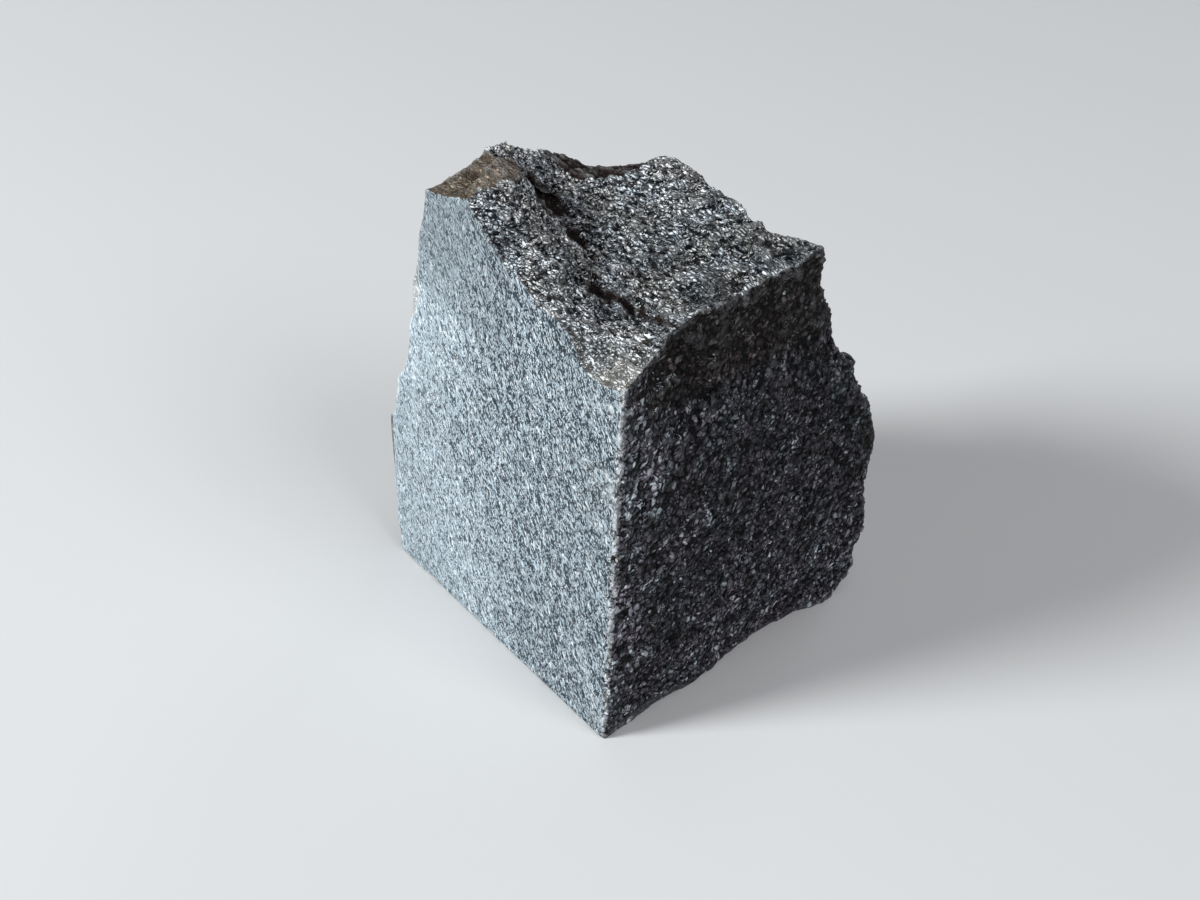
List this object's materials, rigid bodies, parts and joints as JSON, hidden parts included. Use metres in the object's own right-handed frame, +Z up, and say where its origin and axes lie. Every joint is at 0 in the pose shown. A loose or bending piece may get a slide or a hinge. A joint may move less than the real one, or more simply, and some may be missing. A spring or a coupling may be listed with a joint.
{
  "type": "diabase rock",
  "caption": "Hand-sized block of grey diabase with a sawn front and base, a cleft side and a rough broken top and back; stands on its base.",
  "frame": {"origin": "middle of the bounding box's base, on the surface the stone rests on", "axes": "+Z up, the stone's tallest way; -Y is the outward normal of the sawn front face; +X is the outward side of the flat cleft side"},
  "size_m": [0.0568, 0.0526, 0.0758],
  "materials": {
    "diabase": "matte"
  },
  "bodies": {
    "root": {"diabase_rock": "diabase"}
  },
  "joints": []
}
